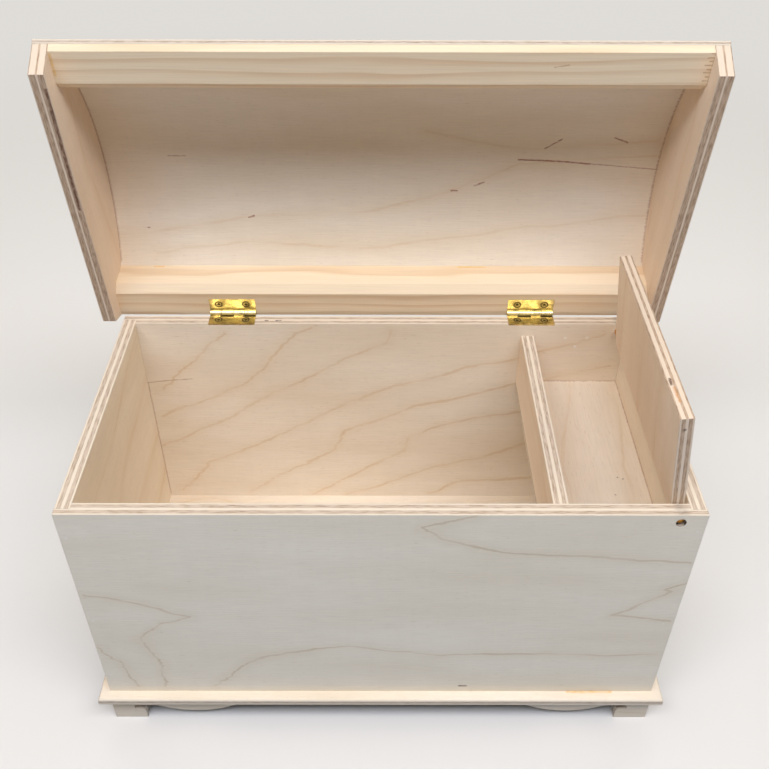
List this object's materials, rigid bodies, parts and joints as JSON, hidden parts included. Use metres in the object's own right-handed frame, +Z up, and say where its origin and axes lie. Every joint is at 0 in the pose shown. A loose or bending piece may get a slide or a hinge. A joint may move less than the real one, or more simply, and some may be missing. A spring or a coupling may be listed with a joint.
{
  "type": "blanket chest",
  "caption": "Small plywood blanket chest on bracket feet, with a domed lid on brass butt hinges and a lidded till inside.",
  "frame": {"origin": "on the floor under the middle of the box's width and depth", "axes": "+Z up, the front faces -Y, +X to the right seen from the front"},
  "size_m": [0.305, 0.1842, 0.3174],
  "materials": {
    "birch_plywood": "sanded, unfinished birch plywood",
    "bent_birch_sheet": "sanded, unfinished thin birch plywood, bent",
    "pine": "planed, unfinished pine",
    "brass": "polished brass"
  },
  "bodies": {
    "chest": {"front_panel": "birch_plywood", "back_panel": "birch_plywood", "left_end_panel": "birch_plywood", "right_end_panel": "birch_plywood", "base_board": "birch_plywood", "front_apron": "birch_plywood", "back_apron": "birch_plywood", "left_apron": "birch_plywood", "right_apron": "birch_plywood", "till_floor": "birch_plywood", "till_side": "birch_plywood", "till_front_pin": "brass", "till_back_pin": "brass", "left_hinge_box_leaf": "brass", "left_hinge_pin": "brass", "right_hinge_box_leaf": "brass", "right_hinge_pin": "brass", "hinge_box_screws": "brass"},
    "lid": {"lid_left_end": "birch_plywood", "lid_right_end": "birch_plywood", "lid_top_sheet": "bent_birch_sheet", "lid_front_rail": "pine", "lid_back_rail": "pine", "left_hinge_lid_leaf": "brass", "right_hinge_lid_leaf": "brass", "hinge_lid_screws": "brass"},
    "till_lid": {"till_lid": "birch_plywood"}
  },
  "joints": [
    {"name": "lid_hinge", "type": "hinge", "parent": "chest", "child": "lid", "pos_m": [0, 0.077, 0.1602], "axis": [1, 0, 0], "range_deg": [0, 82]},
    {"name": "till_lid_pivot", "type": "hinge", "parent": "chest", "child": "till_lid", "pos_m": [0.1311, 0, 0.1553], "axis": [0, -1, 0], "range_deg": [0, 83]}
  ],
  "couplings": [
    {"joint": "till_lid_pivot", "follows": "lid_hinge", "ratio": 1.0122}
  ]
}
